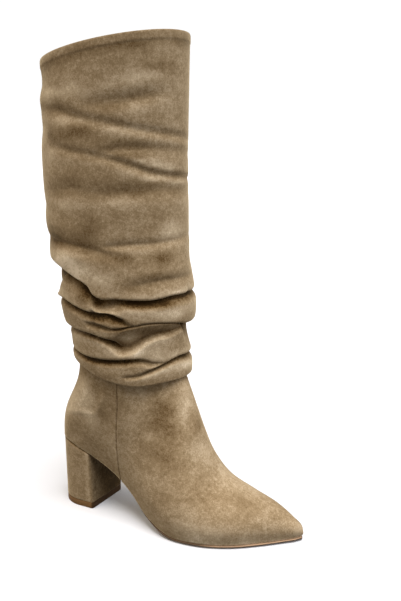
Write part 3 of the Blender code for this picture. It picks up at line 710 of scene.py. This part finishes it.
def section_keys(table):
    sole_steps = np.linalg.norm(np.diff(table[:, FEATHER_COLUMNS], axis=0), axis=1)
    top_steps = np.linalg.norm(np.diff(table[:, TOP_COLUMNS], axis=0), axis=1)
    keys = np.concatenate([[0.0], np.cumsum((sole_steps + top_steps) / 2)])
    return keys / keys[-1]


def section_points(row, shares):
    """A section's outer and inner sides, each from feather to top."""
    height = np.hypot(row.top_x - row.sole_x, row.top_z - row.sole_z)
    sides = []
    for width, feather, top in (
        (row.outer, row.outer_feather, row.ridge_y - row.top_half),
        (row.inner, row.inner_feather, row.ridge_y + row.top_half),
    ):
        outline = half_section(width, feather, top, row.belly, row.crown)
        half = resample(outline * (1.0, height), shares)
        rise = half[:, 1] / height
        bend = row.sway * np.sin(2 * np.pi * rise) + row.bow * np.sin(np.pi * rise)
        x = row.sole_x + (row.top_x - row.sole_x) * rise - bend
        z = row.sole_z + (row.top_z - row.sole_z) * rise
        sides.append(np.stack([x, half[:, 0], z], axis=1))
    return sides


def section_rows(count):
    """The sections' columns, filled in smoothly from the toe to the back."""
    table = np.array([section[1:] for section in SECTIONS])
    return smooth_rows(section_keys(table), table, np.linspace(0.0, 1.0, count))


def side_grids(rows, columns):
    """The outer and the inner side of the foot part as grids of points."""
    table = section_rows(rows)
    table[:, TOP_HALF] = np.clip(table[:, TOP_HALF], 0.0, None)
    shares = np.linspace(0.0, 1.0, columns)
    pairs = [section_points(Section("row", *values), shares) for values in table]
    return [np.array(side) for side in zip(*pairs)]


def seam_rows(side):
    """A side's grid with its rows gathered along the seam, and each point's distance from the seam."""
    z, x = np.array(SEAM_PATH).T
    near = np.array(NEAR_SEAM)
    grid = []
    distances = []
    for column in range(side.shape[1]):
        line = side[:, column]
        along = arc_lengths(line)
        ahead = line[:, 0] - np.interp(line[:, 2], z, x)
        crossing = np.flatnonzero((ahead[:-1] > 0) & (ahead[1:] <= 0))[0]
        share = ahead[crossing] / (ahead[crossing] - ahead[crossing + 1])
        seam = along[crossing] + share * (along[crossing + 1] - along[crossing])
        front = np.concatenate([near, np.linspace(near[-1], seam, VAMP_ROWS)[1:]])
        back = np.concatenate([near[1:], np.linspace(near[-1], along[-1] - seam, QUARTER_ROWS)[1:]])
        offset = np.concatenate([-front[::-1], back])
        grid.append(follow(line, along, seam + offset))
        distances.append(offset)
    return np.stack(grid, axis=1), np.stack(distances, axis=1)


def grid_normals(grid):
    along = np.gradient(grid, axis=0)
    across = np.gradient(grid, axis=1)
    normal = np.cross(across, along)
    return normal / np.maximum(np.linalg.norm(normal, axis=-1, keepdims=True), 1e-9)


def path_distance(points, path, axes):
    """Distance of points from a polyline, in the plane of two axes."""
    flat = points[..., axes]
    best = np.full(flat.shape[:-1], np.inf)
    for start, end in zip(path[:-1], path[1:]):
        start = np.array(start)
        step = np.array(end) - start
        share = np.clip(((flat - start) @ step) / (step @ step), 0.0, 1.0)
        best = np.minimum(best, np.linalg.norm(flat - start - share[..., None] * step, axis=-1))
    return best


def dress_side(grid, distance, outward):
    """The seam's groove and the stiffener's soft edge, and the tone of the nap: the seam's dark line,
    painted highlights and painted shade.
    """
    away = path_distance(grid, STIFFENER_PATH, [0, 2])
    ridge = bell(away, *STIFFENER_RIDGE) * climb(distance, *STIFFENER_SEAM_FADE)
    relief = seam_relief(SIDE_SEAM, distance) + ridge * climb(grid[..., 0], *STIFFENER_BACK_FADE)
    moved = grid + grid_normals(grid) * outward * relief[..., None]
    from_feather = np.linalg.norm(grid - grid[:, :1], axis=-1)
    tone = bell(distance, *SEAM_TONE) + STIFFENER_HIGHLIGHT * ridge + bell(from_feather, *FEATHER_HIGHLIGHT)
    tone = tone + bell(from_feather, *SOLE_PAINTED_LIGHT) * climb(grid[..., 0], *SOLE_PAINTED_LIGHT_FADE)
    for *place, radius, value in FOOT_PAINTED_PATCHES:
        tone = tone + bell(np.linalg.norm(grid - place, axis=-1), 0.0, radius, value)
    return moved, tone


def both_sides(grids, flipped):
    """Points and faces of the outer and the inner grid, one of them flipped."""
    vertices = []
    faces = []
    for index, grid in enumerate(grids):
        faces += grid_faces(*grid.shape[:2], start=len(vertices), flip=index == flipped)
        vertices += list(grid.reshape(-1, 3))
    return np.array(vertices), faces


def make_upper(suede):
    grids = []
    tones = []
    for side, outward in zip(side_grids(DENSE_ROWS, SIDE_COLUMNS), OUTWARD):
        grid, distance = seam_rows(side)
        moved, tone = dress_side(grid, distance, outward)
        # The two sides still meet at the toe and down the back
        moved[0] = grid[0]
        moved[-1, :, 1] = grid[-1, :, 1]
        lower = moved[:, 0]
        target = np.interp(lower[:, 0], *np.array(UNDER_LINE).T)
        under = []
        for share in UNDER_SHARES:
            row = lower.copy()
            row[:, 1] += (target - lower[:, 1]) * share
            row[:, 2] += UNDER_RISE
            under.append(row)
        grids.append(np.concatenate([np.stack(under, axis=1), moved], axis=1))
        tone = np.concatenate([np.zeros((len(tone), len(under))), tone], axis=1)
        tones += list(tone.ravel())
    vertices, faces = both_sides(grids, flipped=1)
    piece = add_piece("upper_suede", vertices, faces, suede)
    add_tone(piece, tones)
    weld(piece)
    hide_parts("upper")


UPPER_LINING_ROWS = 90
UPPER_LINING_COLUMNS = 36
# Rows left out at the toe's tip, where the two insets would cross
UPPER_LINING_TIP = 2


def make_upper_lining(lining):
    grids = []
    for side, outward in zip(side_grids(UPPER_LINING_ROWS, UPPER_LINING_COLUMNS), OUTWARD):
        inset = side - grid_normals(side) * outward * UPPER_WALL
        grids.append(inset[UPPER_LINING_TIP:])
    vertices, faces = both_sides(grids, flipped=0)
    add_piece("upper_lining", vertices, faces, lining)


# The sole and the heel

FEATHER_STEPS = 400


def feather_line():
    """The upper's lower edge as columns x, z, outer y, inner y, from the back to the toe."""
    return section_rows(FEATHER_STEPS)[::-1][:, FEATHER_COLUMNS + [INNER_FEATHER]]


def offset_side(x, y, distance):
    slope_x = np.gradient(x)
    slope_y = np.gradient(y)
    length = np.hypot(slope_x, slope_y)
    return x + distance * slope_y / length, y - distance * slope_x / length


def sole_sides(x, distances):
    """Outer and inner y at each x, on the feather line moved outward by the distances."""
    line = feather_line()
    outer = []
    inner = []
    for station, distance in zip(x, distances):
        outer.append(np.interp(station, *offset_side(line[:, 0], line[:, 2], distance)))
        inner.append(np.interp(station, *offset_side(line[:, 0], line[:, 3], -distance)))
    return np.array(outer), np.array(inner)


def sole_height(x):
    line = feather_line()
    return np.interp(x, line[:, 0], line[:, 1])


BREAST_GAP = 0.3
SOLE_GAP = 0.25
TOE_TURN = 170.0
STRAIGHT_ROWS = 75
TURN_ROWS = 40
# How far in each ring of the outsole's edge is, and its share of the way up
OUTSOLE_RINGS = ((5.0, 0.0), (3.2, 0.14), (1.6, 0.34), (0.4, 0.58), (0.0, 0.8), (0.5, 1.0))
INSET_LIMIT = 0.3
# The edge's painted shade and light by its share of the way up: dark where it rounds under and just under
# the upper, a little paler between. Along the foot, painted shade under the waist gives way to a paler
# edge at the forefoot.
EDGE_SHARES = (0.34, 0.6, 0.8, 1.0)
EDGE_SHADING = (-1.8, -0.2, 0.1, -0.3)
EDGE_PLACES = (130.0, 165.0)
EDGE_PLACE_SHADING = (-0.8, 0.3)
OUTSOLE_SHARP = 50


def make_outsole(leather):
    toe = feather_line()[-1, 0] + WELT_TOE_WIDTH
    straight = np.linspace(HEEL_SEAT.breast + BREAST_GAP, TOE_TURN, STRAIGHT_ROWS)
    turn = np.sin(np.linspace(0.0, np.pi / 2, TURN_ROWS))[1:]
    x = np.concatenate([straight, TOE_TURN + (toe - TOE_TURN) * turn])
    welt = np.interp(x, (WAIST_ENDS, WELT_STARTS), (-WAIST_INSET, WELT_WIDTH))
    outer, inner = sole_sides(x, welt)
    top = sole_height(x) - SOLE_GAP
    ground = np.interp(x, *np.array(GROUND_LINE).T)
    outer_rings = []
    inner_rings = []
    for inset, share in OUTSOLE_RINGS:
        inset = np.minimum(inset, INSET_LIMIT * (inner - outer))
        z = ground + (top - ground) * share
        outer_rings.append(np.stack([x, outer + inset, z], axis=1))
        inner_rings.append(np.stack([x, inner - inset, z], axis=1))
    grid = np.array(outer_rings + inner_rings[::-1]).transpose(1, 0, 2)
    vertices, faces = capped_rings(grid)
    faces = [face[::-1] for face in faces]
    piece = add_piece("outsole_edge", vertices, faces, leather, smooth_angle=OUTSOLE_SHARP)
    shares = [share for inset, share in OUTSOLE_RINGS]
    ring_shading = np.interp(shares + shares[::-1], EDGE_SHARES, EDGE_SHADING)
    add_tone(piece, np.interp(grid[..., 0], EDGE_PLACES, EDGE_PLACE_SHADING) + ring_shading)
    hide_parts("outsole")


HEEL_CORNER = 2.4
HEEL_BACK_STEPS = 40
HEEL_SIDE_STEPS = 8
HEEL_CORNER_STEPS = 7
HEEL_SHARP = 60
HEEL_GAP = 0.15
# Shares of the heel's height, closer together where the covering turns in at the base and the seat
HEEL_LOW = (0.0, 0.004, 0.012, 0.03)
HEEL_MIDDLE = np.linspace(0.06, 0.96, 24)
HEEL_HIGH = (0.972, 0.983, 0.992, 1.0)
BASE_TURN = 0.5
BASE_TURN_ENDS = 0.012
SEAT_TURN = 0.9
SEAT_TURN_FADE = (0.96, 0.03)

# The heel's painted tone: painted shade in the groove under the seat and on the breast, a painted
# highlight along its front corners
GROOVE_SHADE = -1.2
GROOVE_FADE = (0.965, 0.015)
CORNER_HIGHLIGHT = (-4.5, 4.0, 0.5)
CORNER_SIDE = 2.0
BREAST_SHADE = -1.4
BREAST_FADE = (-2.0, 2.0)
TOP_PIECE_FADE = (0.0, 2.0)
BREAST_INNER_Y = 10.0
BREAST_SHARES = (0.3, 1.0)

# Inset and height of the top piece's rings
TOP_PIECE_RINGS = ((0.7, 0.0), (0.25, 0.2), (0.1, 0.6), (0.1, 3.0), (0.1, 5.5), (0.2, 5.85), (0.5, 6.0))


def heel_outline(outline):
    """A closed D: the rounded back, straight sides and a straight breast with eased corners."""
    share = 1 - np.cos(np.linspace(0.0, np.pi / 2, HEEL_BACK_STEPS))
    turn_x = outline.back + (outline.breast - outline.back) * outline.round_share * share
    half = outline.half_width * np.sqrt(np.clip(1 - (1 - share) ** 2, 0, 1))
    sides_x = np.linspace(turn_x[-1], outline.breast - HEEL_CORNER, HEEL_SIDE_STEPS)[1:]
    bend = np.linspace(0.0, np.pi / 2, HEEL_CORNER_STEPS)[1:]
    bend_x = outline.breast - HEEL_CORNER + HEEL_CORNER * np.sin(bend)
    bend_y = outline.half_width - HEEL_CORNER + HEEL_CORNER * np.cos(bend)
    breast_y = np.linspace(outline.half_width - HEEL_CORNER, 0.0, HEEL_SIDE_STEPS)[1:]
    x = np.concatenate([turn_x, sides_x, bend_x, np.full(len(breast_y), outline.breast)])
    y = np.concatenate([half, np.full(len(sides_x), outline.half_width), bend_y, breast_y])
    outer = np.stack([x, -y], axis=1)
    inner = np.stack([x, y], axis=1)[-2:0:-1]
    return np.vstack([outer, inner])


def capped_rings(rings):
    """Points and faces of closed rings in a row, with a flat cap at each end."""
    grid = np.array(rings)
    rows, columns = grid.shape[:2]
    faces = grid_faces(rows, columns, closed=True)
    faces.append(tuple(range(columns))[::-1])
    faces.append(tuple(range((rows - 1) * columns, rows * columns)))
    return grid.reshape(-1, 3), faces


def shrunk(outline, inset):
    centre = np.array([(outline[:, 0].min() + outline[:, 0].max()) / 2, 0.0])
    half = np.array([np.ptp(outline[:, 0]), np.ptp(outline[:, 1])]) / 2
    return centre + (outline - centre) * (1 - inset / half)


def make_heel(suede):
    base = heel_outline(HEEL_BASE)
    seat = heel_outline(HEEL_SEAT)
    bottom = TOP_PIECE_HEIGHT + HEEL_GAP
    seat_z = sole_height(seat[:, 0]) - HEEL_GAP
    shares = np.concatenate([HEEL_LOW, HEEL_MIDDLE, HEEL_HIGH])
    rings = []
    for share in shares:
        low_turn = BASE_TURN * np.clip(1 - share / BASE_TURN_ENDS, 0, 1) ** 2
        high_turn = SEAT_TURN * climb(share, *SEAT_TURN_FADE)
        plan = shrunk(base + (seat - base) * share, low_turn + high_turn)
        rings.append(np.column_stack([plan, bottom + (seat_z - bottom) * share]))
    vertices, faces = capped_rings(rings)
    x, y = vertices[:, 0], vertices[:, 1]
    groove = np.repeat(climb(shares, *GROOVE_FADE), len(base))
    at_side = np.abs(y) > HEEL_BASE.half_width - CORNER_SIDE
    corner = bell(x - HEEL_BASE.breast, *CORNER_HIGHLIGHT) * at_side
    breast = climb(x - HEEL_SEAT.breast, *BREAST_FADE)
    breast = breast * np.interp(y, (-HEEL_BASE.half_width, BREAST_INNER_Y), BREAST_SHARES)
    piece = add_piece("heel_suede", vertices, faces, suede, smooth_angle=HEEL_SHARP)
    # Painted shade on the breast and in the groove, a painted highlight on the front corners
    add_tone(piece, BREAST_SHADE * breast + GROOVE_SHADE * groove + corner)
    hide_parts("heel")


def make_top_piece(rubber):
    outline = heel_outline(HEEL_BASE)
    rings = []
    for inset, z in TOP_PIECE_RINGS:
        rings.append(np.column_stack([shrunk(outline, inset), np.full(len(outline), z)]))
    vertices, faces = capped_rings(rings)
    piece = add_piece("top_piece_edge", vertices, faces, rubber, smooth_angle=HEEL_SHARP)
    # Painted shade on the top piece's breast
    add_tone(piece, BREAST_SHADE * climb(vertices[:, 0] - HEEL_SEAT.breast, *TOP_PIECE_FADE))
    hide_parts("top_piece")


# Materials

SUEDE_TONE_SHIFT = 0.465


class Nodes:
    """A short way to lay out the nodes of a material or a world."""

    def __init__(self, owner, shader="Principled BSDF", place="Object"):
        owner.use_nodes = True
        self.owner = owner
        self.tree = owner.node_tree
        self.shader = self.tree.nodes[shader]
        self.place = self.add("TexCoord").outputs[place]

    def fill(self, socket, value):
        if isinstance(value, bpy.types.NodeSocket):
            self.tree.links.new(value, socket)
        else:
            socket.default_value = value

    def fill_inputs(self, node, values):
        for name, value in values.items():
            self.fill(node.inputs[name.replace("_", " ")], value)

    def set(self, **values):
        self.fill_inputs(self.shader, values)

    def add(self, kind, **values):
        node = self.tree.nodes.new("ShaderNode" + kind)
        self.fill_inputs(node, values)
        return node

    def stretched(self, scale):
        return self.add("Mapping", Vector=self.place, Scale=scale).outputs["Vector"]

    def noise(self, scale, place=None, detail=2.0, roughness=0.5, distortion=0.0):
        node = self.add("TexNoise", Vector=place or self.place, Scale=scale, Detail=detail)
        self.fill_inputs(node, {"Roughness": roughness, "Distortion": distortion})
        return node.outputs["Fac"]

    def math(self, operation, first, second):
        node = self.add("Math")
        node.operation = operation
        self.fill(node.inputs[0], first)
        self.fill(node.inputs[1], second)
        return node.outputs[0]

    def weighted(self, *pairs):
        total = None
        for value, weight in pairs:
            term = self.math("MULTIPLY", value, weight)
            total = term if total is None else self.math("ADD", total, term)
        return total

    def ramp(self, value, stops):
        node = self.add("ValToRGB", Fac=value)
        elements = node.color_ramp.elements
        while len(elements) < len(stops):
            elements.new(0.5)
        for element, (place, colour) in zip(elements, stops):
            element.position = place
            element.color = (*colour, 1.0)
        return node.outputs["Color"]

    def attribute(self, name):
        node = self.add("Attribute")
        node.attribute_name = name
        return node.outputs["Fac"]

    def bump(self, height, strength, distance):
        node = self.add("Bump", Strength=strength, Distance=distance, Height=height)
        self.set(Normal=node.outputs["Normal"])


def make_suede():
    """Short brushed nap: broad patches that lie either way, small mottling and fine fibre, with painted
    shade and highlights from the tone attribute.
    """
    nodes = Nodes(bpy.data.materials.new("suede_nap"))
    upright = nodes.stretched((1.0, 1.0, 1.9))
    patches = nodes.noise(30.0, detail=5.0, roughness=0.62, distortion=0.8)
    streaks = nodes.noise(70.0, upright, detail=4.0, roughness=0.65, distortion=0.3)
    mottle = nodes.noise(280.0, detail=4.0, roughness=0.7)
    fibre = nodes.noise(850.0, roughness=0.7)
    painted_light = nodes.attribute("tone")
    parts = [(patches, 0.42), (streaks, 0.34), (mottle, 0.60), (fibre, 0.56), (painted_light, 0.31)]
    tone = nodes.math("SUBTRACT", nodes.weighted(*parts), SUEDE_TONE_SHIFT)
    nodes.set(Base_Color=nodes.ramp(tone, SUEDE_COLOURS), Roughness=0.92, Specular_IOR_Level=0.06)
    nodes.set(Sheen_Weight=0.58, Sheen_Roughness=0.4, Sheen_Tint=(0.91, 0.71, 0.44, 1.0))
    nodes.bump(nodes.weighted((fibre, 0.6), (mottle, 0.6)), strength=0.35, distance=0.0004)
    return nodes.owner


def make_tan(name, colours):
    """Edge-dyed leather or rubber in thin layers, with painted shade and light from the tone attribute."""
    nodes = Nodes(bpy.data.materials.new(name))
    flat = nodes.stretched((0.4, 0.4, 8.0))
    layers = nodes.noise(60.0, flat, detail=3.0, roughness=0.6, distortion=0.2)
    grain = nodes.noise(900.0, roughness=0.6)
    tone = nodes.weighted((layers, 0.7), (grain, 0.3), (nodes.attribute("tone"), 0.5))
    nodes.set(Base_Color=nodes.ramp(tone, colours), Roughness=0.6, Specular_IOR_Level=0.12)
    nodes.bump(grain, strength=0.2, distance=0.0003)
    return nodes.owner


def make_lining():
    nodes = Nodes(bpy.data.materials.new("lining_cloth"))
    soft = nodes.noise(70.0)
    grain = nodes.noise(1100.0)
    tone = nodes.weighted((soft, 0.6), (grain, 0.4))
    nodes.set(Base_Color=nodes.ramp(tone, LINING_COLOURS), Roughness=0.8)
    nodes.bump(grain, strength=0.25, distance=0.0003)
    return nodes.owner


# The studio

# Half the floor's length in metres
FLOOR_REACH = 30.0

# Brightness of the surroundings from straight down, 0, to straight up, 1. The horizon is white.
SKY = [(0.0, 0.1), (0.47, 0.1), (0.49, 1.0), (0.595, 1.0), (0.63, 0.2), (1.0, 0.4)]
SKY_STRENGTH = 1.02

# Broad soft lights: azimuth from +X towards +Y, elevation and softness in degrees
Sun = namedtuple("Sun", "name azimuth elevation softness strength colour")
SUNS = [
    Sun("key", -45.0, 68.0, 36.0, 3.6, (0.95, 1.0, 1.10)),
    Sun("right", 20.0, 42.0, 60.0, 1.7, (0.96, 1.0, 1.08)),
    Sun("left", -140.0, 45.0, 60.0, 1.35, (1.0, 0.90, 0.76)),
]


def make_floor():
    mesh = bpy.data.meshes.new("floor")
    corners = [(x * FLOOR_REACH, y * FLOOR_REACH, 0.0) for x, y in ((-1, -1), (1, -1), (1, 1), (-1, 1))]
    mesh.from_pydata(corners, [], [(0, 1, 2, 3)])
    floor = bpy.data.objects.new("floor", mesh)
    bpy.context.scene.collection.objects.link(floor)
    nodes = Nodes(bpy.data.materials.new("pale_floor"))
    shade = nodes.noise(3.0)
    nodes.set(Base_Color=nodes.ramp(shade, FLOOR_COLOURS), Roughness=0.9, Specular_IOR_Level=0.1)
    # A faint warm glow, painted light that lifts and warms the shadows cast on the floor
    nodes.set(Emission_Color=(1.0, 0.78, 0.60, 1.0), Emission_Strength=0.03)
    mesh.materials.append(nodes.owner)
    floor.visible_diffuse = False


def add_sun(sun):
    light = bpy.data.lights.new(sun.name, "SUN")
    light.angle = np.radians(sun.softness)
    light.energy = sun.strength
    light.color = sun.colour
    lamp = bpy.data.objects.new(sun.name, light)
    bpy.context.scene.collection.objects.link(lamp)
    turn = np.radians(sun.azimuth)
    lift = np.radians(sun.elevation)
    toward = Vector((np.cos(turn) * np.cos(lift), np.sin(turn) * np.cos(lift), np.sin(lift)))
    lamp.rotation_euler = toward.to_track_quat("Z", "Y").to_euler()


def make_studio():
    nodes = Nodes(bpy.data.worlds.new("studio"), "Background", "Generated")
    bpy.context.scene.world = nodes.owner
    height = nodes.add("SeparateXYZ", Vector=nodes.place).outputs["Z"]
    lifted = nodes.add("MapRange", Value=height, From_Min=-1.0).outputs["Result"]
    stops = [(place, (level, level, level)) for place, level in SKY]
    nodes.set(Color=nodes.ramp(lifted, stops), Strength=SKY_STRENGTH)
    for sun in SUNS:
        add_sun(sun)
    bpy.context.scene.view_settings.view_transform = "Standard"


def make_camera():
    camera = bpy.data.objects.new("camera", bpy.data.cameras.new("camera"))
    bpy.context.scene.collection.objects.link(camera)
    camera.data.lens = CAMERA_LENS
    camera.data.sensor_width = CAMERA_SENSOR
    camera.location = Vector(CAMERA_PLACE) * MM
    azimuth = np.radians(CAMERA_AZIMUTH)
    pitch = np.radians(CAMERA_PITCH)
    forward = Vector((-np.sin(azimuth) * np.cos(pitch), np.cos(azimuth) * np.cos(pitch), np.sin(pitch)))
    right = Vector((np.cos(azimuth), np.sin(azimuth), 0.0))
    up = right.cross(forward)
    camera.rotation_euler = Matrix((right, up, -forward)).transposed().to_euler()
    bpy.context.scene.camera = camera


def main():
    make_camera()
    suede = make_suede()
    lining = make_lining()
    make_upper(suede)
    make_upper_lining(lining)
    make_shaft(suede)
    make_shaft_lining(lining)
    make_outsole(make_tan("outsole_leather", TAN_COLOURS))
    make_heel(suede)
    make_top_piece(make_tan("top_piece_rubber", BROWN_COLOURS))
    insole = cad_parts["insole"]
    insole.data.materials.clear()
    insole.data.materials.append(lining)
    make_floor()
    make_studio()


main()
